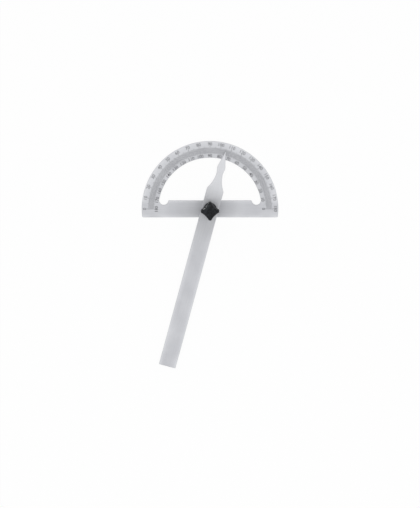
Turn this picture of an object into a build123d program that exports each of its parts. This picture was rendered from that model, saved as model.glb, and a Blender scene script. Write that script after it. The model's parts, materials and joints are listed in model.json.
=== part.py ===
from build123d import *

import os
from math import cos, pi, sin, sqrt

# Bevel protractor with an open arc: a graduated half-disc plate, a blade that swings on
# its pivot, and a lobed clamp knob. It lies on its back: +Z rises from the plate, +Y points
# at the 90 degree line, and the origin is the pivot axis at the plate's back face.
# All lengths are in millimetres and all angles in degrees.

# Protractor plate
ARC_RADIUS = 60.0
BAND_WIDTH = 14.6
BAR_HEIGHT = 15.0
PLATE_THICKNESS = 1.5
PLATE_CORNER_RADIUS = 1.0
RELIEF_RADIUS = 4.0
RELIEF_LIP_RADIUS = 1.0
PLATE_EDGE_BREAK = 0.2

# Blade: the arm on one side of the pivot, the pointer on the other
BLADE_WIDTH = 15.0
BLADE_THICKNESS = 1.5
BLADE_REACH = 145.3
BLADE_EDGE_BREAK = 0.2
BLADE_CORNER_RADIUS = 0.4
BLADE_LEAN = 15.1

# Pointer, measured back from its tip
POINTER_SHOULDER = 35.0
POINTER_WAIST = 20.7
POINTER_LEAF = 15.2
POINTER_WAIST_WIDTH = 5.6
POINTER_LEAF_WIDTH = 7.5
POINTER_TIP_WIDTH = 0.4
FLANK_HOLLOW = 0.95
NECK_HOLLOW = 0.2
TIP_HOLLOW = 0.1
SHOULDER_ROUND = 0.5
WAIST_ROUND = 8.0
LEAF_ROUND = 4.0

# Pivot stud: flat head let into the plate's back, plain journal, M5 end with two flats
STUD_HEAD_DIAMETER = 12.0
STUD_HEAD_THICKNESS = 0.8
STUD_HEAD_RECESS = 0.1
STUD_HEAD_CHAMFER = 0.15
JOURNAL_DIAMETER = 6.0
JOURNAL_SETBACK = 0.05
THREAD_DIAMETER = 5.0
THREAD_LENGTH = 7.5
FLATS_WIDTH = 4.0
STUD_END_CHAMFER = 0.5

# Pressure washer: slides on the stud's flats and is held in the underside of the knob
WASHER_FLANGE_DIAMETER = 9.2
WASHER_FLANGE_THICKNESS = 0.4
WASHER_BOSS_DIAMETER = 8.2
WASHER_BOSS_HEIGHT = 0.7

# Clamp knob: a lobed head on a round hub that tapers upwards
KNOB_LOBES = 4
KNOB_DIAMETER = 16.2
KNOB_FLUTE_DIAMETER = 11.2
LOBE_TIP_RADIUS = 1.6
KNOB_HEIGHT = 14.5
HUB_DIAMETER = 11.8
HUB_TOP_DIAMETER = 11.0
HUB_HEIGHT = 7.4
HUB_FOOT_CHAMFER = 0.3
HEAD_EDGE_RADIUS = 0.8
HEAD_UNDER_CHAMFER = 0.4
DIMPLE_DIAMETER = 4.6
DIMPLE_DEPTH = 0.6
KNOB_STANDOFF = 0.4
RETAINING_LIP = 0.25

# Threaded insert moulded into the knob
INSERT_DIAMETER = 7.2
INSERT_LENGTH = 8.0
INSERT_END_WALL = 1.0
INSERT_GROOVE_WIDTH = 1.6
INSERT_GROOVE_DEPTH = 0.4
INSERT_LEAD_IN = 0.4

# Clearances between pieces
PRESS_GAP = 0.02
SLIDE_GAP = 0.03
JOURNAL_GAP = 0.05
THREAD_GAP = 0.05
FLATS_GAP = 0.05
CLAMP_GAP = 0.02
WASHER_PLAY = 0.05
WASHER_SIDE_PLAY = 0.1

# Levels and radii that follow from the sizes above
window_radius = ARC_RADIUS - BAND_WIDTH
bar_edge = BAR_HEIGHT / 2
blade_bottom = PLATE_THICKNESS + SLIDE_GAP
blade_top = blade_bottom + BLADE_THICKNESS
pointer_tip = ARC_RADIUS - BAND_WIDTH / 2
head_seat = STUD_HEAD_RECESS + STUD_HEAD_THICKNESS
journal_top = blade_top - JOURNAL_SETBACK
stud_top = journal_top + THREAD_LENGTH
washer_bottom = blade_top + CLAMP_GAP
washer_ledge = washer_bottom + WASHER_BOSS_HEIGHT
washer_top = washer_ledge + WASHER_FLANGE_THICKNESS
knob_bottom = washer_bottom + KNOB_STANDOFF
insert_bottom = washer_top + WASHER_PLAY
head_bottom = knob_bottom + HUB_HEIGHT
knob_top = knob_bottom + KNOB_HEIGHT


def disc(diameter, bottom, top):
    """A plain round solid about the pivot axis."""
    return Pos(Z=bottom) * extrude(Circle(diameter / 2), top - bottom)


def turned(points):
    """A turned solid: its half section, given as (radius, level) points, spun about the pivot."""
    section = make_face(Plane.XZ * Polyline(*points, close=True))
    return revolve(section, Axis.Z)


def plate_outline():
    """The half disc, carried straight past the zero line to the base edge."""
    corner_x = sqrt(ARC_RADIUS**2 - bar_edge**2)
    rim = ThreePointArc((-corner_x, -bar_edge), (0, ARC_RADIUS), (corner_x, -bar_edge))
    base = Line((corner_x, -bar_edge), (-corner_x, -bar_edge))
    outline = make_face([rim, base])
    return fillet(outline.vertices(), PLATE_CORNER_RADIUS)


def window_outline():
    """The open window: a half disc above the bar, with a round relief in both lower corners."""
    opening = Circle(window_radius) & Pos(Y=bar_edge) * Rectangle(
        2 * window_radius, window_radius, align=(Align.CENTER, Align.MIN)
    )
    relief_x = sqrt((window_radius - RELIEF_RADIUS) ** 2 - bar_edge**2)
    for side in (-1, 1):
        opening += Pos(side * relief_x, bar_edge) * Circle(RELIEF_RADIUS)
    lip_x = relief_x - RELIEF_RADIUS
    lips = [
        v
        for v in opening.vertices()
        if abs(v.Y - bar_edge) < PRESS_GAP and abs(abs(v.X) - lip_x) < PRESS_GAP
    ]
    return fillet(lips, RELIEF_LIP_RADIUS)


def protractor_plate():
    """The flat plate, its edges broken, with the stud's hole and the seat for its head."""
    plate = extrude(plate_outline() - window_outline(), PLATE_THICKNESS)
    rims = plate.edges().filter_by_position(Axis.Z, 0, 0)
    rims += plate.edges().filter_by_position(Axis.Z, PLATE_THICKNESS, PLATE_THICKNESS)
    plate = chamfer(rims, PLATE_EDGE_BREAK)
    plate -= disc(JOURNAL_DIAMETER + 2 * PRESS_GAP, 0, PLATE_THICKNESS)
    return plate - disc(STUD_HEAD_DIAMETER + 2 * PRESS_GAP, 0, head_seat)


def blade_half():
    """The blade's right half: square arm, then hollow flank, neck, leaf and tapered tip."""
    half = BLADE_WIDTH / 2
    end = Vector(half, -BLADE_REACH)
    shoulder = Vector(half, pointer_tip - POINTER_SHOULDER)
    waist = Vector(POINTER_WAIST_WIDTH / 2, pointer_tip - POINTER_WAIST)
    leaf = Vector(POINTER_LEAF_WIDTH / 2, pointer_tip - POINTER_LEAF)
    tip = Vector(POINTER_TIP_WIDTH / 2, pointer_tip)
    edges = [
        Line((0, -BLADE_REACH), end),
        Line(end, shoulder),
        SagittaArc(shoulder, waist, FLANK_HOLLOW),
        SagittaArc(waist, leaf, NECK_HOLLOW),
        SagittaArc(leaf, tip, TIP_HOLLOW),
        Line(tip, (0, pointer_tip)),
        Line((0, pointer_tip), (0, -BLADE_REACH)),
    ]
    half_face = make_face(edges)
    rounds = [
        (end, BLADE_CORNER_RADIUS),
        (shoulder, SHOULDER_ROUND),
        (waist, WAIST_ROUND),
        (leaf, LEAF_ROUND),
    ]
    for corner, radius in rounds:
        half_face = fillet(half_face.vertices().sort_by_distance(corner)[0], radius)
    return half_face


def blade():
    """The flat blade with its pointer, turned to the reading it shows at rest."""
    right_half = blade_half()
    outline = right_half + mirror(right_half, Plane.YZ)
    body = Pos(Z=blade_bottom) * extrude(outline, BLADE_THICKNESS)
    rims = body.edges().filter_by_position(Axis.Z, blade_top, blade_top)
    rims += body.edges().filter_by_position(Axis.Z, blade_bottom, blade_bottom)
    body = chamfer(rims, BLADE_EDGE_BREAK)
    body -= disc(JOURNAL_DIAMETER + 2 * JOURNAL_GAP, blade_bottom, blade_top)
    return Rot(Z=-BLADE_LEAN) * body


def cut_flats(piece, width, bottom, top, reach):
    """Removes what lies outside two flats that face along X."""
    keep = Pos(Z=bottom) * Box(
        width, 2 * reach, top - bottom, align=(Align.CENTER, Align.CENTER, Align.MIN)
    )
    cut = disc(2 * reach, bottom, top) - keep
    return piece - cut


def pivot_stud():
    """The stud: head in the plate's back, journal for the blade, threaded end for the knob."""
    head = STUD_HEAD_DIAMETER / 2
    journal = JOURNAL_DIAMETER / 2
    thread = THREAD_DIAMETER / 2
    stud = turned(
        [
            (0, STUD_HEAD_RECESS),
            (head - STUD_HEAD_CHAMFER, STUD_HEAD_RECESS),
            (head, STUD_HEAD_RECESS + STUD_HEAD_CHAMFER),
            (head, head_seat),
            (journal, head_seat),
            (journal, journal_top),
            (thread, journal_top),
            (thread, stud_top - STUD_END_CHAMFER),
            (thread - STUD_END_CHAMFER, stud_top),
            (0, stud_top),
        ]
    )
    return cut_flats(stud, FLATS_WIDTH, journal_top, stud_top, thread)


def pressure_washer():
    """The stepped steel washer: its boss bears on the blade, its flange stays in the knob."""
    washer = disc(WASHER_BOSS_DIAMETER, washer_bottom, washer_ledge)
    washer += disc(WASHER_FLANGE_DIAMETER, washer_ledge, washer_top)
    hole_radius = THREAD_DIAMETER / 2 + THREAD_GAP
    hole = disc(2 * hole_radius, washer_bottom, washer_top)
    hole_width = FLATS_WIDTH + 2 * FLATS_GAP
    return washer - cut_flats(hole, hole_width, washer_bottom, washer_top, hole_radius)


def insert_blank():
    """The outside of the insert, with the groove that the moulding grips."""
    outer = INSERT_DIAMETER / 2
    inner = outer - INSERT_GROOVE_DEPTH
    middle = insert_bottom + INSERT_LENGTH / 2
    low = middle - INSERT_GROOVE_WIDTH / 2
    high = middle + INSERT_GROOVE_WIDTH / 2
    top = insert_bottom + INSERT_LENGTH
    return turned(
        [
            (0, insert_bottom),
            (outer, insert_bottom),
            (outer, low),
            (inner, low),
            (inner, high),
            (outer, high),
            (outer, top),
            (0, top),
        ]
    )


def knob_insert():
    """The threaded bush: a blind bore at the thread's diameter, with a lead-in at its mouth."""
    bore = THREAD_DIAMETER / 2 + THREAD_GAP
    bore_end = insert_bottom + INSERT_LENGTH - INSERT_END_WALL
    hole = turned(
        [
            (0, insert_bottom),
            (bore + INSERT_LEAD_IN, insert_bottom),
            (bore, insert_bottom + INSERT_LEAD_IN),
            (bore, bore_end),
            (0, bore_end),
        ]
    )
    return insert_blank() - hole


def lobed_outline():
    """Round lobes joined by hollow flutes, every arc tangent to the next."""
    half_step = pi / KNOB_LOBES
    tip_centre = KNOB_DIAMETER / 2 - LOBE_TIP_RADIUS
    flute_bottom = KNOB_FLUTE_DIAMETER / 2
    inset = flute_bottom - LOBE_TIP_RADIUS
    spread = tip_centre * cos(half_step) - inset
    flute_centre = (tip_centre**2 - inset**2) / (2 * spread)
    flute_radius = flute_centre - flute_bottom
    share = LOBE_TIP_RADIUS / (LOBE_TIP_RADIUS + flute_radius)
    edges = []
    for lobe in range(KNOB_LOBES):
        angle = 2 * half_step * lobe
        tip = Vector(cos(angle), sin(angle)) * tip_centre
        before, after = (
            Vector(cos(angle + turn), sin(angle + turn)) * flute_centre
            for turn in (-half_step, half_step)
        )
        start = tip + (before - tip) * share
        end = tip + (after - tip) * share
        crest = Vector(cos(angle), sin(angle)) * (KNOB_DIAMETER / 2)
        edges.append(ThreePointArc(start, crest, end))
        valley = Vector(cos(angle + half_step), sin(angle + half_step)) * flute_bottom
        next_angle = angle + 2 * half_step
        next_tip = Vector(cos(next_angle), sin(next_angle)) * tip_centre
        next_start = next_tip + (after - next_tip) * share
        edges.append(ThreePointArc(end, valley, next_start))
    return make_face(edges)


def knob_head():
    """The lobed head: a rounded top edge and a small chamfer underneath."""
    head = Pos(Z=head_bottom) * extrude(lobed_outline(), knob_top - head_bottom)
    top_rim = head.edges().filter_by_position(Axis.Z, knob_top, knob_top)
    head = fillet(top_rim, HEAD_EDGE_RADIUS)
    under_rim = head.edges().filter_by_position(Axis.Z, head_bottom, head_bottom)
    return chamfer(under_rim, HEAD_UNDER_CHAMFER)


def knob_body():
    """The moulded knob: lobed head, round hub, the insert's seat and the washer's groove."""
    foot = HUB_DIAMETER / 2
    hub_top = HUB_TOP_DIAMETER / 2
    hub = turned(
        [
            (0, knob_bottom),
            (foot - HUB_FOOT_CHAMFER, knob_bottom),
            (foot, knob_bottom + HUB_FOOT_CHAMFER),
            (hub_top, head_bottom),
            (hub_top, head_bottom + HEAD_UNDER_CHAMFER),
            (0, head_bottom + HEAD_UNDER_CHAMFER),
        ]
    )
    body = hub + knob_head()
    dimple = disc(DIMPLE_DIAMETER, knob_top - DIMPLE_DEPTH, knob_top)
    lip_diameter = WASHER_BOSS_DIAMETER + 2 * WASHER_SIDE_PLAY
    groove_diameter = WASHER_FLANGE_DIAMETER + 2 * WASHER_SIDE_PLAY
    body -= dimple
    body -= disc(lip_diameter, knob_bottom, insert_bottom)
    body -= disc(groove_diameter, knob_bottom + RETAINING_LIP, insert_bottom)
    return body - insert_blank()


NODES = {
    "protractor_plate": protractor_plate,
    "blade": blade,
    "pivot_stud": pivot_stud,
    "pressure_washer": pressure_washer,
    "knob_insert": knob_insert,
    "knob_body": knob_body,
}

os.makedirs("parts", exist_ok=True)
for name, build in NODES.items():
    piece = build()
    piece.label = name
    export_step(piece, f"parts/{name}.step")
    print(name, round(piece.volume, 2), "mm3")
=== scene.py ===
# %% [markdown]
# # A bevel protractor, dressed around its measured frame
#
# The real tool is a half disc of satin chromed steel with a degree scale, a blade that swings
# on one pivot, and a black clamp knob. Every solid that has a size to keep comes from the packed
# frame. Here those solids get their finish, and what is too fine for the frame is modelled: the
# lines and numerals of the scale, and the thread that the knob climbs.

# %% Load the frame
import json
import math

import bpy
from mathutils import Matrix, Vector


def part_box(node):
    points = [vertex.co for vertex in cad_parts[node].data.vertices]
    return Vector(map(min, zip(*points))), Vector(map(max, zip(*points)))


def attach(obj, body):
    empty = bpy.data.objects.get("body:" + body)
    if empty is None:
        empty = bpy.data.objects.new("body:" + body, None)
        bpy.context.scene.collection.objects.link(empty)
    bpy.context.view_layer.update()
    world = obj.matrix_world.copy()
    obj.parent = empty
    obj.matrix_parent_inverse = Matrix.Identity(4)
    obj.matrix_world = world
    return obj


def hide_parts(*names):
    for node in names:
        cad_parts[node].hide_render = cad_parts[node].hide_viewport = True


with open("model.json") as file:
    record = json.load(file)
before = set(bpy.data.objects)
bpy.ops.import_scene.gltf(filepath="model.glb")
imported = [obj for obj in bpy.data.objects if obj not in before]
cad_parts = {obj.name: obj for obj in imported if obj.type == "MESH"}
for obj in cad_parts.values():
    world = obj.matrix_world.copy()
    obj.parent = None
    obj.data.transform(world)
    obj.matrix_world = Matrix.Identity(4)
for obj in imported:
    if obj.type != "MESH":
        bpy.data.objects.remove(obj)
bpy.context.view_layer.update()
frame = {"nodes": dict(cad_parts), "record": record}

nodes = frame["nodes"]
print("nodes:", ", ".join(sorted(nodes)))

# %% [markdown]
# ## Sizes that everything else follows
#
# A scale is only right if it is concentric with the pivot and flat on the plate, so its radii and
# its level are worked out from the plate's own box. The thread's pitch comes from the frame too:
# it is how far the knob rises in one turn.

# %% Sizes taken from the frame
MM = 0.001
plate_low, plate_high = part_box("protractor_plate")
stud_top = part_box("pivot_stud")[1].z
knob_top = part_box("knob_body")[1].z
arc_radius = plate_high.y
plate_face = plate_high.z
coupling = frame["record"]["behaviour"]["couplings"][0]
thread_pitch = 2 * math.pi / coupling["ratio"]
print(f"arc {arc_radius / MM:.2f} mm, plate face at {plate_face / MM:.2f} mm")
print(f"thread pitch {thread_pitch / MM:.3f} mm, knob's top at {knob_top / MM:.2f} mm")

# %% [markdown]
# ## The camera first
#
# The tool was photographed from almost straight above, from a little beyond the top of the arc:
# the knob, which stands tall, leans down the picture, while the arc is still a true half circle.
# A long lens from far away keeps the arc round. The picture's scale is known from the arc's
# width, so the lens follows from the distance and the height of the frame.

# %% Camera
IMAGE_HEIGHT = 508
PIVOT_ROW = 209.0
PIXEL = 0.8803 * MM
CAMERA_TILT = math.radians(9)
CAMERA_DISTANCE = 4.0
SENSOR = 36.0

target_y = -(IMAGE_HEIGHT / 2 - PIVOT_ROW) * PIXEL / math.cos(CAMERA_TILT)
camera_data = bpy.data.cameras.new("copy_stand_camera")
camera_data.sensor_width = SENSOR
camera_data.lens = SENSOR * CAMERA_DISTANCE / (IMAGE_HEIGHT * PIXEL)
camera = bpy.data.objects.new("copy_stand_camera", camera_data)
camera.location = (
    0,
    target_y + CAMERA_DISTANCE * math.sin(CAMERA_TILT),
    plate_face + CAMERA_DISTANCE * math.cos(CAMERA_TILT),
)
camera.rotation_euler = (-CAMERA_TILT, 0, 0)
bpy.context.scene.collection.objects.link(camera)
bpy.context.scene.camera = camera
bpy.context.scene.view_settings.view_transform = "Standard"
print(f"lens {camera_data.lens:.1f} mm at {CAMERA_DISTANCE} m")

# %% [markdown]
# ## Colour and node helpers
#
# Colours are written as the hex values that a painter or a web page would use, and one function
# turns them to the linear values that a renderer adds and multiplies. Materials are small graphs,
# so one more function adds a node together with its settings and its links. A Mix node keeps a
# socket for every type of data, so its sockets are given by number: 2 and 3 are its two numbers
# and output 0 their mix, while 6 and 7 are its two colours and output 2 their mix.


# %% Helpers
def paint(code):
    """An sRGB hex colour as linear red, green, blue and alpha, by the sRGB standard's curve."""
    shares = [int(code[i : i + 2], 16) / 255 for i in (1, 3, 5)]
    linear = [s / 12.92 if s <= 0.04045 else ((s + 0.055) / 1.055) ** 2.4 for s in shares]
    return (*linear, 1.0)


def add_node(tree, kind, settings=None, links=None):
    """A new node. Settings and links are given by property, socket name or socket number."""
    node = tree.nodes.new(kind)
    for name, value in (settings or {}).items():
        if isinstance(name, int) or name in node.inputs:
            node.inputs[name].default_value = value
        else:
            setattr(node, name, value)
    for name, source in (links or {}).items():
        tree.links.new(source, node.inputs[name])
    return node


def new_finish(name):
    """A new material with its node tree, its shader and the object's own coordinates."""
    material = bpy.data.materials.new(name)
    material.use_nodes = True
    tree = material.node_tree
    place = add_node(tree, "ShaderNodeTexCoord").outputs["Object"]
    return material, tree, tree.nodes["Principled BSDF"], place


print("white is", [round(v, 3) for v in paint("#ffffff")])

# %% [markdown]
# ## Places of painted light and of handled edges
#
# The chrome's painted highlights and the knob's handled edge are placed by how far a point lies
# from a line or from the pivot axis. The two helpers below measure that in the object's own
# coordinates, so each stays on its place when a part moves.


# %% Distance helpers
def away_from(tree, across, middle, reach, power):
    """Zero on a middle line, rising to one at reach on either side of it."""
    offset = add_node(tree, "ShaderNodeMath", {"operation": "SUBTRACT", 1: middle}, {0: across})
    size = add_node(tree, "ShaderNodeMath", {"operation": "ABSOLUTE"}, {0: offset.outputs[0]})
    share = add_node(
        tree, "ShaderNodeMapRange", {"From Max": reach}, {"Value": size.outputs[0]}
    )
    rise = add_node(
        tree, "ShaderNodeMath", {"operation": "POWER", 1: power}, {0: share.outputs["Result"]}
    )
    return rise.outputs[0]


def from_pivot_axis(tree, place):
    """The distance from the pivot axis, at any height."""
    flat = add_node(
        tree, "ShaderNodeVectorMath", {"operation": "MULTIPLY", 1: (1, 1, 0)}, {0: place}
    )
    radius = add_node(
        tree, "ShaderNodeVectorMath", {"operation": "LENGTH"}, {0: flat.outputs["Vector"]}
    )
    return radius.outputs["Value"]


print("rubbed places are measured from the pivot axis and from straight lines")

# %% [markdown]
# ## Satin chromed steel
#
# The plate and the blade are cold rolled sheet, ground along their length, etched or blasted to a
# matt tooth and then chromed. The eye gets three things from that: a cool pale grey with no
# mirror in it, faint lengthwise streaks left by the belt, and a very fine sparkle. A belt leaves
# lines a few hundredths of a millimetre apart and a tooth as fine, which no pixel here could hold,
# so the lines are drawn about a third of a millimetre wide and the tooth about a fifth.

# %% The marks in the chrome
STREAK_LENGTH = 22 * MM
STREAK_WIDTH = 0.35 * MM
TOOTH_SIZE = 0.22 * MM
CLOUD_SIZE = 17 * MM


def chrome_marks(tree, place, grain_turn):
    """Streaks along X turned by grain_turn, the fine tooth and broad clouds, as three noises."""
    grain = add_node(
        tree,
        "ShaderNodeMapping",
        {
            "vector_type": "TEXTURE",
            "Rotation": (0, 0, grain_turn),
            "Scale": (STREAK_LENGTH, STREAK_WIDTH, STREAK_WIDTH),
        },
        {"Vector": place},
    )
    streaks = add_node(
        tree,
        "ShaderNodeTexNoise",
        {"Scale": 1.0, "Detail": 3.0, "Roughness": 0.55},
        {"Vector": grain.outputs["Vector"]},
    ).outputs["Fac"]
    tooth = add_node(
        tree,
        "ShaderNodeTexNoise",
        {"Scale": 1 / TOOTH_SIZE, "Detail": 2.0},
        {"Vector": place},
    ).outputs["Fac"]
    clouds = add_node(
        tree,
        "ShaderNodeTexNoise",
        {"Scale": 1 / CLOUD_SIZE, "Detail": 2.0, "Roughness": 0.4},
        {"Vector": place},
    ).outputs["Fac"]
    return streaks, tooth, clouds


print(f"streaks {STREAK_WIDTH / MM:.2f} mm wide, tooth {TOOTH_SIZE / MM:.2f} mm")

# %% [markdown]
# ## From marks to satin
#
# One scratch on the real surface changes its colour, its gloss and its height together. So the
# same streaks go to the base colour, the roughness and the bump, and a second bump adds the tooth.
# The colour also takes the clouds and a painted light, lighter edges and ends that stand in for
# how the light falls, which each part brings along as a function of its own.

# %% Satin chrome
CHROME_DARK = "#a8a9ad"
CHROME_LIGHT = "#d0d1d4"
CHROME_ROUGHNESS = (0.36, 0.46)
NOISE_SPREAD = (0.3, 0.7)
TOOTH_SHARE = 0.5
MARKS_SPREAD = (0.85, 1.65)
# Share of the colour range that the painted highlights take.
PAINTED_LIGHT_SHARE = 0.58
STREAK_HEIGHT = 0.0045 * MM
TOOTH_HEIGHT = 0.005 * MM


def satin_chrome(name, grain_turn, painted_light):
    """Chrome over ground and blasted steel. The grain runs along X, turned by grain_turn.

    The last argument adds the nodes that say how much painted highlight a place gets, from 0 to 1.
    """
    material, tree, shader, place = new_finish(name)
    streaks, tooth, clouds = chrome_marks(tree, place, grain_turn)
    scratch_and_cloud = add_node(
        tree, "ShaderNodeMath", {"operation": "ADD"}, {0: streaks, 1: clouds}
    ).outputs["Value"]
    all_marks = add_node(
        tree,
        "ShaderNodeMath",
        {"operation": "MULTIPLY_ADD", 1: TOOTH_SHARE},
        {0: tooth, 2: scratch_and_cloud},
    ).outputs["Value"]
    mottle = add_node(
        tree,
        "ShaderNodeMapRange",
        {
            "From Min": MARKS_SPREAD[0],
            "From Max": MARKS_SPREAD[1],
            "To Max": 1 - PAINTED_LIGHT_SHARE,
        },
        {"Value": all_marks},
    ).outputs["Result"]
    # Painted light: the painted highlights lift the colour's tone on top of the marks.
    tone = add_node(
        tree,
        "ShaderNodeMath",
        {"operation": "MULTIPLY_ADD", 1: PAINTED_LIGHT_SHARE},
        {0: painted_light(tree, place), 2: mottle},
    ).outputs["Value"]
    tint = add_node(
        tree,
        "ShaderNodeMix",
        {"data_type": "RGBA", 6: paint(CHROME_DARK), 7: paint(CHROME_LIGHT)},
        {0: tone},
    ).outputs[2]
    tree.links.new(tint, shader.inputs["Base Color"])
    gloss = add_node(
        tree,
        "ShaderNodeMapRange",
        {
            "From Min": NOISE_SPREAD[0],
            "From Max": NOISE_SPREAD[1],
            "To Min": CHROME_ROUGHNESS[0],
            "To Max": CHROME_ROUGHNESS[1],
        },
        {"Value": streaks},
    ).outputs["Result"]
    tree.links.new(gloss, shader.inputs["Roughness"])
    scratches = add_node(
        tree,
        "ShaderNodeBump",
        {"Strength": 1.0, "Distance": STREAK_HEIGHT},
        {"Height": streaks},
    ).outputs["Normal"]
    surface = add_node(
        tree,
        "ShaderNodeBump",
        {"Strength": 1.0, "Distance": TOOTH_HEIGHT},
        {"Height": tooth, "Normal": scratches},
    ).outputs["Normal"]
    tree.links.new(surface, shader.inputs["Normal"])
    shader.inputs["Metallic"].default_value = 1.0
    return material


print("chrome from", CHROME_DARK, "to", CHROME_LIGHT)

# %% [markdown]
# ## Where the chrome gets painted light
#
# Both parts are painted brighter in some places, as painted highlights that stand in for how the
# light falls: along their edges, towards the arc's rim, and over the blade's pointer end. Each is
# a smooth rise from the darker middle, so that no border shows.

# %% The plate's painted highlights
# Painted highlights: the chrome's colour is painted lighter along the bar's and blade's edges and
# towards the arc's rim.
RIM_POWER = 4.0
EDGE_PAINTED_LIGHT = 0.7
SWEEP_POWER = 1.5
SWEEP_START = arc_radius - 10 * MM
SWEEP_REACH = 13.5 * MM
BAR_WIDTH = 15.0 * MM
BAR_MIDDLE = plate_low.y + BAR_WIDTH / 2


def strip_edges(tree, across, middle, width):
    """The two edges of a strip, painted lighter as a highlight."""
    edges = away_from(tree, across, middle, width / 2, RIM_POWER)
    return add_node(
        tree, "ShaderNodeMath", {"operation": "MULTIPLY", 1: EDGE_PAINTED_LIGHT}, {0: edges}
    ).outputs[0]


def rubbed_plate(tree, place):
    """Painted highlights along both edges of the bar, and from the scale out to the arc's rim."""
    parts = add_node(tree, "ShaderNodeSeparateXYZ", links={0: place})
    bar_edges = strip_edges(tree, parts.outputs["Y"], BAR_MIDDLE, BAR_WIDTH)
    radius = from_pivot_axis(tree, place)
    sweep = away_from(tree, radius, SWEEP_START, SWEEP_REACH, SWEEP_POWER)
    # The bar lies deep inside the arc and the arc lies far from the bar's middle, so each of the
    # two is high where the other one counts, and the lower of them is right everywhere.
    return add_node(
        tree, "ShaderNodeMath", {"operation": "MINIMUM"}, {0: sweep, 1: bar_edges}
    ).outputs[0]


plate_finish = satin_chrome("satin_chrome_ground_across", 0.0, rubbed_plate)
nodes["protractor_plate"].material_slots[0].material = plate_finish
print("chromed the plate, bar middle at", round(BAR_MIDDLE / MM, 2), "mm")

# %% [markdown]
# ## The blade's finish
#
# The blade leans away from the plate's axes, so both its grain and its edges are measured in
# coordinates that are turned to lie along it. It swings, but its coordinates swing with it.

# %% The blade's painted highlights
BLADE_WIDTH = 15.0 * MM
BLADE_LEAN = math.radians(15.1)
# Painted light: the blade's colour grows lighter from here towards the pointer end.
POINTER_LIGHT_START = -50.0 * MM
POINTER_LIGHT_END = 24.0 * MM
POINTER_PAINTED_LIGHT = 0.84


def rubbed_blade(tree, place):
    """Painted highlights along both edges, and a painted light rising over the whole pointer end.
    """
    turned = add_node(
        tree,
        "ShaderNodeMapping",
        {"vector_type": "TEXTURE", "Rotation": (0, 0, -BLADE_LEAN)},
        {"Vector": place},
    )
    parts = add_node(tree, "ShaderNodeSeparateXYZ", links={0: turned.outputs["Vector"]})
    edges = strip_edges(tree, parts.outputs["X"], 0.0, BLADE_WIDTH)
    pointer = add_node(
        tree,
        "ShaderNodeMapRange",
        {"From Min": POINTER_LIGHT_START, "From Max": POINTER_LIGHT_END, "To Max": POINTER_PAINTED_LIGHT},
        {"Value": parts.outputs["Y"]},
    ).outputs["Result"]
    return add_node(
        tree, "ShaderNodeMath", {"operation": "MAXIMUM"}, {0: edges, 1: pointer}
    ).outputs[0]


blade_finish = satin_chrome(
    "satin_chrome_ground_along_blade", math.pi / 2 - BLADE_LEAN, rubbed_blade
)
nodes["blade"].material_slots[0].material = blade_finish
print("chromed the blade, leaning", round(math.degrees(BLADE_LEAN), 1), "degrees")

# %% [markdown]
# ## Moulded black nylon
#
# Clamp knobs are injection moulded in glass filled nylon. The mould is spark eroded, which leaves
# a fine even pebble about a seventh of a millimetre across and a matt skin with hardly any
# highlight. Fingers polish the rounded edge round the top, so a lamp draws a line there. That edge
# is found by its height, apart from the dimple in the middle, which fingers don't reach.

# %% The knob's handled edge
HANDLED_MIDDLE = knob_top - 0.43 * MM
HANDLED_REACH = 0.37 * MM
DIMPLE_REACH = 3 * MM


def handled_edge(tree, place):
    """One on the rounded edge of the knob's top, and zero in its dimple and elsewhere."""
    parts = add_node(tree, "ShaderNodeSeparateXYZ", links={0: place})
    at_its_height = add_node(
        tree,
        "ShaderNodeMath",
        {"operation": "COMPARE", 1: HANDLED_MIDDLE, 2: HANDLED_REACH},
        {0: parts.outputs["Z"]},
    ).outputs[0]
    beyond_dimple = add_node(
        tree,
        "ShaderNodeMath",
        {"operation": "GREATER_THAN", 1: DIMPLE_REACH},
        {0: from_pivot_axis(tree, place)},
    ).outputs[0]
    return add_node(
        tree, "ShaderNodeMath", {"operation": "MULTIPLY"}, {0: at_its_height, 1: beyond_dimple}
    ).outputs[0]


print(f"handled edge at {HANDLED_MIDDLE / MM:.2f} mm")

# %% [markdown]
# ## The nylon's skin
#
# The glass fibres near the skin show as a slight greying here and there, so the black is never
# quite flat. It follows the flow of the melt, in patches of a millimetre or two, while the pebble
# of the mould is much finer and is given to the bump alone.

# %% Knob nylon
NYLON_BLACK = "#040507"
NYLON_GREYED = "#222529"
NYLON_IOR = 1.5
NYLON_SPECULAR = 0.25
GREYING_SPREAD = (0.4, 0.7)
SKIN_ROUGHNESS = 0.7
EDGE_ROUGHNESS = (0.24, 0.36)
PEBBLE_SIZE = 0.15 * MM
PEBBLE_HEIGHT = 0.012 * MM
FLOW_SIZE = 1.7 * MM


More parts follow.
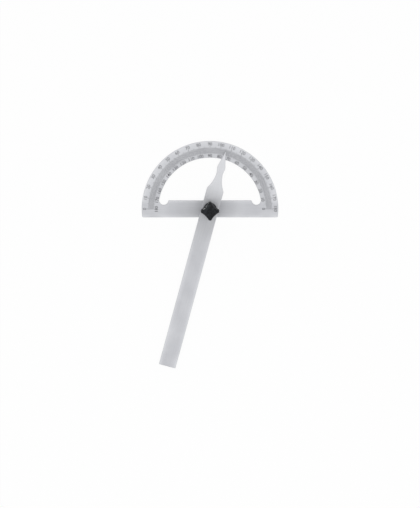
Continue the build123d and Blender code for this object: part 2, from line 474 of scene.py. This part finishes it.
def moulded_nylon(name):
    """Black glass filled nylon with a spark eroded skin."""
    material, tree, shader, place = new_finish(name)
    flow = add_node(
        tree,
        "ShaderNodeTexNoise",
        {"Scale": 1 / FLOW_SIZE, "Detail": 4.0, "Distortion": 0.6},
        {"Vector": place},
    ).outputs["Fac"]
    pebble = add_node(
        tree,
        "ShaderNodeTexNoise",
        {"Scale": 1 / PEBBLE_SIZE, "Detail": 2.0},
        {"Vector": place},
    ).outputs["Fac"]
    greying = add_node(
        tree,
        "ShaderNodeMapRange",
        {"From Min": GREYING_SPREAD[0], "From Max": GREYING_SPREAD[1]},
        {"Value": flow},
    ).outputs["Result"]
    tint = add_node(
        tree,
        "ShaderNodeMix",
        {"data_type": "RGBA", 6: paint(NYLON_BLACK), 7: paint(NYLON_GREYED)},
        {0: greying},
    ).outputs[2]
    tree.links.new(tint, shader.inputs["Base Color"])
    edge_gloss = add_node(
        tree,
        "ShaderNodeMapRange",
        {
            "From Min": NOISE_SPREAD[0],
            "From Max": NOISE_SPREAD[1],
            "To Min": EDGE_ROUGHNESS[0],
            "To Max": EDGE_ROUGHNESS[1],
        },
        {"Value": flow},
    ).outputs["Result"]
    gloss = add_node(
        tree,
        "ShaderNodeMix",
        {2: SKIN_ROUGHNESS},
        {0: handled_edge(tree, place), 3: edge_gloss},
    ).outputs[0]
    tree.links.new(gloss, shader.inputs["Roughness"])
    skin = add_node(
        tree,
        "ShaderNodeBump",
        {"Strength": 1.0, "Distance": PEBBLE_HEIGHT},
        {"Height": pebble},
    ).outputs["Normal"]
    tree.links.new(skin, shader.inputs["Normal"])
    shader.inputs["IOR"].default_value = NYLON_IOR
    shader.inputs["Specular IOR Level"].default_value = NYLON_SPECULAR
    return material


knob_finish = moulded_nylon("moulded_black_nylon")
print("made", knob_finish.name)

# %% [markdown]
# ## Turned metal
#
# The stud, the washer and the insert come off a lathe. A turning tool leaves rings about the axis,
# one for each turn of feed, and they catch the light as a fan. The three differ in metal: bright
# steel, zinc plated steel with its bluish cast, and brass.

# %% Turned finishes
FEED = 0.12 * MM
RING_HEIGHT = 0.004 * MM
RING_WOBBLE = 0.8
SPOT_SIZE = 0.6 * MM
RINGS_PER_UNIT_SCALE = 20 / (2 * math.pi)


def turned_metal(name, dark, light, roughness):
    """Metal straight from the lathe: rings about the pivot axis, in two near tones."""
    material, tree, shader, place = new_finish(name)
    rings = add_node(
        tree,
        "ShaderNodeTexWave",
        {
            "wave_type": "RINGS",
            "rings_direction": "Z",
            "Scale": 1 / (FEED * RINGS_PER_UNIT_SCALE),
            "Distortion": RING_WOBBLE,
            "Detail": 2.0,
        },
        {"Vector": place},
    ).outputs["Fac"]
    spots = add_node(
        tree,
        "ShaderNodeTexNoise",
        {"Scale": 1 / SPOT_SIZE, "Detail": 3.0},
        {"Vector": place},
    ).outputs["Fac"]
    tint = add_node(
        tree, "ShaderNodeMix", {"data_type": "RGBA", 6: paint(dark), 7: paint(light)}, {0: spots}
    ).outputs[2]
    tree.links.new(tint, shader.inputs["Base Color"])
    cut = add_node(
        tree,
        "ShaderNodeBump",
        {"Strength": 1.0, "Distance": RING_HEIGHT},
        {"Height": rings},
    ).outputs["Normal"]
    tree.links.new(cut, shader.inputs["Normal"])
    shader.inputs["Metallic"].default_value = 1.0
    shader.inputs["Roughness"].default_value = roughness
    return material


stud_finish = turned_metal(
    "turned_bright_steel", dark="#a3a3a5", light="#bcbcbe", roughness=0.3
)
washer_finish = turned_metal(
    "zinc_plated_steel", dark="#a9afb6", light="#c6cbd0", roughness=0.38
)
insert_finish = turned_metal("turned_brass", dark="#b08d52", light="#d0ae6e", roughness=0.28)
nodes["pressure_washer"].material_slots[0].material = washer_finish
nodes["knob_insert"].material_slots[0].material = insert_finish
print("turned:", stud_finish.name, washer_finish.name, insert_finish.name)

# %% [markdown]
# ## Etched and filled marks
#
# The scale is etched through a resist and filled with dark enamel, which dries a hair proud of the
# metal. Close up the enamel is a very dark grey with a dull skin, so it reads as grey from afar.

# %% Enamel
ENAMEL_DARK = "#2e2e31"
ENAMEL_LIGHT = "#47474b"
ENAMEL_ROUGHNESS = 0.6
ENAMEL_GRAIN = 0.1 * MM


def filled_enamel(name):
    """Dark enamel rubbed into an etched line."""
    material, tree, shader, place = new_finish(name)
    grain = add_node(
        tree,
        "ShaderNodeTexNoise",
        {"Scale": 1 / ENAMEL_GRAIN, "Detail": 2.0},
        {"Vector": place},
    ).outputs["Fac"]
    tint = add_node(
        tree,
        "ShaderNodeMix",
        {"data_type": "RGBA", 6: paint(ENAMEL_DARK), 7: paint(ENAMEL_LIGHT)},
        {0: grain},
    ).outputs[2]
    tree.links.new(tint, shader.inputs["Base Color"])
    shader.inputs["Roughness"].default_value = ENAMEL_ROUGHNESS
    return material


enamel = filled_enamel("etched_and_filled_enamel")
print("made", enamel.name)

# %% [markdown]
# ## Working on one piece at a time
#
# Loading the frame leaves all its pieces selected, and an operator acts on whatever is selected.
# So each new piece starts with nothing else selected. When it is done, every part of its place is
# put into its mesh, as in the frame's own pieces, so that a pattern on it can never slide.


# %% Selection helpers
def select_only(*pieces):
    """Selects these pieces alone and makes the first one active."""
    bpy.ops.object.select_all(action="DESELECT")
    for piece in pieces:
        piece.select_set(True)
    bpy.context.view_layer.objects.active = pieces[0]


def joined(pieces, name):
    """One mesh object made of several."""
    select_only(*pieces)
    bpy.ops.object.join()
    whole = bpy.context.object
    whole.name = name
    whole.data.name = name
    return whole


def repeated(master, place):
    """A copy of master, with a mesh of its own that has been moved by the matrix place."""
    twin = master.copy()
    twin.data = master.data.copy()
    twin.data.transform(place)
    bpy.context.scene.collection.objects.link(twin)
    return twin


bpy.ops.object.select_all(action="DESELECT")
print("selected:", len(bpy.context.selected_objects))

# %% [markdown]
# ## Degree lines
#
# The scale has a line for every degree, longer at the fives and longest at the tens, so that the
# eye can count. One line of each length is modelled: a thin bar whose upright corners are rounded
# by a bevel, as the cutter or the resist rounds them. It is then copied round the pivot. A line a
# fifth of a millimetre wide is finer than a pixel of the picture, so it is drawn a little wider,
# or the grey band that the lines make together would look too pale.

# %% Degree lines
MARK_PROUD = 0.012 * MM
MARK_SUNK = 0.010 * MM
LINE_WIDTH = 0.26 * MM
CORNER_SHARE = 0.42
UPRIGHT_LIMIT = LINE_WIDTH / 10
LINE_ENDS = {
    1: (arc_radius - 10.8 * MM, arc_radius - 5.6 * MM),
    5: (arc_radius - 11.1 * MM, arc_radius - 4.9 * MM),
    10: (arc_radius - 11.3 * MM, arc_radius - 3.8 * MM),
}
HALF_TURN = 180


def degree_line(inner, outer):
    """One line, lying along +X from the inner to the outer radius."""
    depth = MARK_PROUD + MARK_SUNK
    bpy.ops.mesh.primitive_cube_add(
        size=1,
        location=((inner + outer) / 2, 0, plate_face + MARK_PROUD - depth / 2),
        scale=(outer - inner, LINE_WIDTH, depth),
    )
    line = bpy.context.object
    bpy.ops.object.transform_apply(location=True, rotation=True, scale=True)
    bpy.ops.object.mode_set(mode="EDIT")
    bpy.ops.mesh.select_mode(type="EDGE")
    bpy.ops.mesh.select_all(action="DESELECT")
    bpy.ops.object.mode_set(mode="OBJECT")
    for edge in line.data.edges:
        start, end = (line.data.vertices[i].co for i in edge.vertices)
        edge.select = (start - end).xy.length < UPRIGHT_LIMIT
    bpy.ops.object.mode_set(mode="EDIT")
    bpy.ops.mesh.bevel(offset=LINE_WIDTH * CORNER_SHARE, segments=2)
    bpy.ops.object.mode_set(mode="OBJECT")
    return line


def step_of(degree):
    """The coarsest division that this degree belongs to."""
    return max(step for step in LINE_ENDS if degree % step == 0)


masters = {step: degree_line(*ends) for step, ends in LINE_ENDS.items()}
lines = [
    repeated(masters[step_of(degree)], Matrix.Rotation(math.radians(degree), 4, "Z"))
    for degree in range(HALF_TURN + 1)
]
for master in masters.values():
    bpy.data.objects.remove(master)
degree_lines = joined(lines, "degree_lines")
degree_lines.data.materials.clear()
degree_lines.data.materials.append(enamel)
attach(degree_lines, "root")
print(f"{len(lines)} lines, {len(degree_lines.data.polygons)} faces")

# %% [markdown]
# ## Numerals
#
# Two rows of plain numerals let the angle be read from either end: the outer row counts clockwise
# from the left, the inner row the other way. Each numeral stands with its top outwards. It is
# made as a text object, which gives true outlines, and turned into a mesh before it gets its size
# and its place on the arc. The inner row is a touch bolder, as it is on the real scale.

# %% Numerals
NUMERAL_HEIGHT = 2.75 * MM
CURVE_STEPS = 3
TEXT_DEPTH = 0.01
NUMERAL_WELD = 0.001 * MM
OUTER_BOLD = 0.0
INNER_BOLD = 0.008
OUTER_ROW = arc_radius - 2.4 * MM
INNER_ROW = arc_radius - 12.8 * MM
NUMERAL_STEP = 10


def numeral(value, angle, radius, bold):
    """The digits of value, centred on the arc at this angle and radius, tops outwards."""
    bpy.ops.object.text_add()
    text = bpy.context.object
    text.data.body = str(value)
    text.data.offset = bold
    text.data.resolution_u = CURVE_STEPS
    text.data.extrude = TEXT_DEPTH
    bpy.ops.object.convert(target="MESH")
    figure = bpy.context.object
    corners = [v.co for v in figure.data.vertices]
    low = Vector([min(c[i] for c in corners) for i in range(3)])
    high = Vector([max(c[i] for c in corners) for i in range(3)])
    to_centre = Matrix.Translation(-(low + high) / 2)
    grow = NUMERAL_HEIGHT / (high.y - low.y)
    depth = (MARK_PROUD + MARK_SUNK) / (high.z - low.z)
    to_size = Matrix.Diagonal((grow, grow, depth, 1))
    level = plate_face + (MARK_PROUD - MARK_SUNK) / 2
    outward = Matrix.Translation((0, radius, level))
    turn = Matrix.Rotation(angle - math.pi / 2, 4, "Z")
    figure.data.transform(turn @ outward @ to_size @ to_centre)
    return figure


figures = []
for value in range(0, HALF_TURN + 1, NUMERAL_STEP):
    figures.append(numeral(value, math.pi - math.radians(value), OUTER_ROW, OUTER_BOLD))
    figures.append(numeral(value, math.radians(value), INNER_ROW, INNER_BOLD))
numerals = joined(figures, "scale_numerals")
bpy.ops.object.mode_set(mode="EDIT")
bpy.ops.mesh.select_all(action="SELECT")
bpy.ops.mesh.remove_doubles(threshold=NUMERAL_WELD)
bpy.ops.mesh.normals_make_consistent(inside=False)
bpy.ops.object.mode_set(mode="OBJECT")
numerals.data.materials.clear()
numerals.data.materials.append(enamel)
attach(numerals, "root")
print(f"{len(figures)} numerals, {len(numerals.data.polygons)} faces")

# %% [markdown]
# ## The knob's smooth skin
#
# The frame's knob has the right form, but its skin is loose flat triangles, and a moulding's round
# edges have to catch one continuous highlight. So a copy is made whole: the triangles are joined,
# and every edge is shaded smooth unless it turns sharply. The shape stays exactly as measured.


# %% Whole copies of frame nodes
SHARP = math.radians(32)
WELD = 0.0005 * MM


def whole_copy(node, name):
    """A closed, smooth-shaded copy of a frame node that is ready to be worked on."""
    piece = bpy.data.objects.new(name, nodes[node].data.copy())
    piece.data.name = name
    bpy.context.scene.collection.objects.link(piece)
    select_only(piece)
    bpy.ops.mesh.customdata_custom_splitnormals_clear()
    bpy.ops.object.mode_set(mode="EDIT")
    bpy.ops.mesh.select_all(action="SELECT")
    bpy.ops.mesh.remove_doubles(threshold=WELD)
    bpy.ops.object.mode_set(mode="OBJECT")
    bpy.ops.object.shade_smooth_by_angle(angle=SHARP)
    return piece


knob = whole_copy("knob_body", "clamp_knob")
knob.data.materials.clear()
knob.data.materials.append(knob_finish)
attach(knob, "knob")
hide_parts("knob_body")
print(f"knob: {len(knob.data.vertices)} points, {len(knob.data.polygons)} faces")

# %% [markdown]
# ## The stud's thread
#
# When the knob is screwed up, the stud under it shows, so its thread is real. A thread is a groove
# that winds along a rod: one small tapered section is drawn beside the rod, the Screw modifier
# winds it up the axis at the pitch, and its two ends are closed. Bump mapping would give the
# shading but not the notched outline, which shows here.

# %% Thread groove
THREAD_RADIUS = 2.5 * MM
THREAD_DEPTH = 0.49 * MM
THREAD_CLEAR = 0.06 * MM
ROOT_WIDTH = 0.1 * MM
FLANK_ANGLE = math.radians(30)
STEPS_PER_TURN = 32


def thread_groove(bottom, top):
    """The winding groove as a closed solid, from just under one level to above another."""
    root = THREAD_RADIUS - THREAD_DEPTH
    mouth = THREAD_RADIUS + THREAD_CLEAR
    mouth_width = ROOT_WIDTH + 2 * (mouth - root) * math.tan(FLANK_ANGLE)
    turns = math.ceil((top - bottom) / thread_pitch) + 1
    bpy.ops.mesh.primitive_plane_add(
        size=1,
        location=((root + mouth) / 2, 0, bottom),
        rotation=(math.pi / 2, 0, 0),
    )
    groove = bpy.context.object
    groove.scale = (mouth - root, mouth_width, 1)
    bpy.ops.object.transform_apply(location=True, rotation=True, scale=True)
    for vertex in groove.data.vertices:
        vertex.select = vertex.co.x < (root + mouth) / 2
    bpy.ops.object.mode_set(mode="EDIT")
    bpy.ops.mesh.select_mode(type="VERT")
    bpy.ops.transform.resize(value=(1, 1, ROOT_WIDTH / mouth_width))
    bpy.ops.mesh.select_all(action="SELECT")
    bpy.ops.mesh.delete(type="ONLY_FACE")
    bpy.ops.object.mode_set(mode="OBJECT")
    wind = groove.modifiers.new("wind", "SCREW")
    wind.axis = "Z"
    wind.screw_offset = thread_pitch
    wind.iterations = turns
    wind.steps = STEPS_PER_TURN
    wind.render_steps = STEPS_PER_TURN
    bpy.ops.object.modifier_apply(modifier=wind.name)
    bpy.ops.object.mode_set(mode="EDIT")
    bpy.ops.mesh.select_all(action="SELECT")
    bpy.ops.mesh.fill_holes(sides=4)
    bpy.ops.mesh.select_all(action="SELECT")
    bpy.ops.mesh.normals_make_consistent(inside=False)
    bpy.ops.object.mode_set(mode="OBJECT")
    return groove


print(f"groove {THREAD_DEPTH / MM:.2f} mm deep, {STEPS_PER_TURN} steps in a turn")

# %% [markdown]
# ## Cutting the thread
#
# A boolean takes the groove out of a copy of the stud, from just above the journal to beyond the
# top. It leaves a few slivers with hardly any area, so those are dissolved, and what is left is
# made triangles again.

# %% Threaded stud
JOURNAL_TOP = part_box("blade")[1].z
THREAD_RUNOUT = 0.7 * MM

stud = whole_copy("pivot_stud", "threaded_stud")
groove = thread_groove(JOURNAL_TOP + THREAD_RUNOUT, stud_top)
select_only(stud)
cut = stud.modifiers.new("cut", "BOOLEAN")
cut.operation = "DIFFERENCE"
cut.solver = "EXACT"
cut.object = groove
bpy.ops.object.modifier_apply(modifier=cut.name)
bpy.data.objects.remove(groove)
bpy.ops.object.mode_set(mode="EDIT")
bpy.ops.mesh.select_all(action="SELECT")
bpy.ops.mesh.dissolve_degenerate(threshold=WELD)
bpy.ops.mesh.quads_convert_to_tris()
bpy.ops.object.mode_set(mode="OBJECT")
bpy.ops.object.shade_smooth_by_angle(angle=SHARP)
stud.data.materials.clear()
stud.data.materials.append(stud_finish)
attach(stud, "root")
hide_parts("pivot_stud")
print(f"stud: {len(stud.data.polygons)} faces")

# %% [markdown]
# ## The floor
#
# Catalogue pictures of flat metal are taken in a white tent, because a mirror-like part shows
# whatever surrounds it. The floor and the sky are white to the camera and to reflections, and the
# floor gives up a small share of its glow so that the tool's own shadow still lies on it. From
# below, the floor is clear, so the back of the tool can be looked at.

# %% Floor
FLOOR_SIZE = 8.0
FLOOR_GLOW = 0.93
PAPER_COLOUR = "#f2f2f2"
WHITE = "#ffffff"
FLOOR_DROP = 0.02 * MM


def seen_directly(tree):
    """One where a ray comes from the camera, a reflection or through glass, and else zero."""
    path = add_node(tree, "ShaderNodeLightPath")
    either = add_node(
        tree,
        "ShaderNodeMath",
        {"operation": "MAXIMUM"},
        {0: path.outputs["Is Camera Ray"], 1: path.outputs["Is Glossy Ray"]},
    ).outputs["Value"]
    return add_node(
        tree,
        "ShaderNodeMath",
        {"operation": "MAXIMUM"},
        {0: either, 1: path.outputs["Is Transmission Ray"]},
    ).outputs["Value"]


bpy.ops.mesh.primitive_plane_add(size=FLOOR_SIZE, location=(0, 0, -FLOOR_DROP))
floor = bpy.context.object
floor.name = "studio_floor"
floor_paper = bpy.data.materials.new("white_paper_floor")
floor_paper.use_nodes = True
tree = floor_paper.node_tree
tree.nodes.clear()
matt = add_node(tree, "ShaderNodeBsdfDiffuse", {"Color": paint(PAPER_COLOUR)})
glow = add_node(tree, "ShaderNodeEmission", {"Color": paint(WHITE), "Strength": 1.0})
share = add_node(
    tree, "ShaderNodeMath", {"operation": "MULTIPLY", 1: FLOOR_GLOW}, {0: seen_directly(tree)}
)
paper = add_node(
    tree,
    "ShaderNodeMixShader",
    links={0: share.outputs["Value"], 1: matt.outputs[0], 2: glow.outputs[0]},
)
clear = add_node(tree, "ShaderNodeBsdfTransparent")
side = add_node(tree, "ShaderNodeNewGeometry")
both = add_node(
    tree,
    "ShaderNodeMixShader",
    links={0: side.outputs["Backfacing"], 1: paper.outputs[0], 2: clear.outputs[0]},
)
add_node(tree, "ShaderNodeOutputMaterial", links={"Surface": both.outputs[0]})
floor.data.materials.append(floor_paper)
print("floor", FLOOR_SIZE, "m across")

# %% [markdown]
# ## The tent
#
# The tent itself is the main light. Like the floor, it is plain white to the camera and to
# reflections, and a little dimmer where it lights the tool, so that the pale metal doesn't clip.

# %% Tent
TENT_LIGHT = 0.85

world = bpy.data.worlds.new("light_tent")
bpy.context.scene.world = world
world.use_nodes = True
tree = world.node_tree
tree.nodes.clear()
tent = add_node(
    tree, "ShaderNodeBackground", {"Color": paint(WHITE), "Strength": TENT_LIGHT}
)
backdrop = add_node(tree, "ShaderNodeBackground", {"Color": paint(WHITE), "Strength": 1.0})
sky = add_node(
    tree,
    "ShaderNodeMixShader",
    links={0: seen_directly(tree), 1: tent.outputs[0], 2: backdrop.outputs[0]},
)
add_node(tree, "ShaderNodeOutputWorld", links={"Surface": sky.outputs[0]})
print("tent at", TENT_LIGHT)

# %% [markdown]
# ## The lamps
#
# One broad softbox overhead adds to the tent evenly. The black knob would show no form in that, so
# a small lamp with a beam under a centimetre wide draws a line of light on the rounded edge at its
# upper left. A wider beam would reach the metal and burn it out.

# %% Lamps
SOFTBOX_HEIGHT = 0.6
SOFTBOX_SIZE = (0.9, 0.9)
SOFTBOX_GLOW = 0.38
SOFTBOX_PLACE = (0.0, -0.2)
RIM_LAMP_POWER = 6.5
RIM_LAMP_RADIUS = 0.004
RIM_LAMP_BEAM = math.radians(1.4)
RIM_LAMP_BLEND = 0.5
RIM_LAMP_TARGET = Vector((-3.6 * MM, 3.6 * MM, knob_top - 0.4 * MM))
RIM_LAMP_PLACE = Vector((-0.22, 0.2, 0.21))

softbox_data = bpy.data.lights.new("softbox", "AREA")
softbox_data.shape = "RECTANGLE"
softbox_data.size, softbox_data.size_y = SOFTBOX_SIZE
softbox_data.energy = SOFTBOX_GLOW * math.pi * SOFTBOX_SIZE[0] * SOFTBOX_SIZE[1]
softbox = bpy.data.objects.new("softbox", softbox_data)
softbox.location = (*SOFTBOX_PLACE, SOFTBOX_HEIGHT)
bpy.context.scene.collection.objects.link(softbox)

rim_data = bpy.data.lights.new("rim_lamp", "SPOT")
rim_data.energy = RIM_LAMP_POWER
rim_data.shadow_soft_size = RIM_LAMP_RADIUS
rim_data.spot_size = RIM_LAMP_BEAM
rim_data.spot_blend = RIM_LAMP_BLEND
rim_lamp = bpy.data.objects.new("rim_lamp", rim_data)
rim_lamp.location = RIM_LAMP_PLACE
aim = RIM_LAMP_TARGET - RIM_LAMP_PLACE
rim_lamp.rotation_euler = aim.to_track_quat("-Z", "Y").to_euler()
bpy.context.scene.collection.objects.link(rim_lamp)

print(f"softbox at {SOFTBOX_HEIGHT} m, rim lamp {aim.length:.2f} m from the knob")

# %% [markdown]
# ## The black card
#
# Photographers hang a small black card over flat metal, out of the picture. Here it hangs over the
# pivot: it takes the glare off the knob and puts a soft dark pool in the metal around it.

# %% Black card
CARD_HEIGHT = 0.07
CARD_RADIUS = 0.015
CARD_PLACE = (-0.0018, -0.0125)
CARD_SIDES = 48
CARD_BLACK = "#0c0c0c"

bpy.ops.mesh.primitive_circle_add(
    vertices=CARD_SIDES, radius=CARD_RADIUS, fill_type="NGON", location=(*CARD_PLACE, CARD_HEIGHT)
)
card = bpy.context.object
card.name = "black_card"
card_black = bpy.data.materials.new("black_card")
card_black.use_nodes = True
card_shader = card_black.node_tree.nodes["Principled BSDF"]
card_shader.inputs["Base Color"].default_value = paint(CARD_BLACK)
card_shader.inputs["Roughness"].default_value = 1.0
card.data.materials.append(card_black)
card.visible_camera = False
print(f"black card {2 * CARD_RADIUS / MM:.0f} mm across")
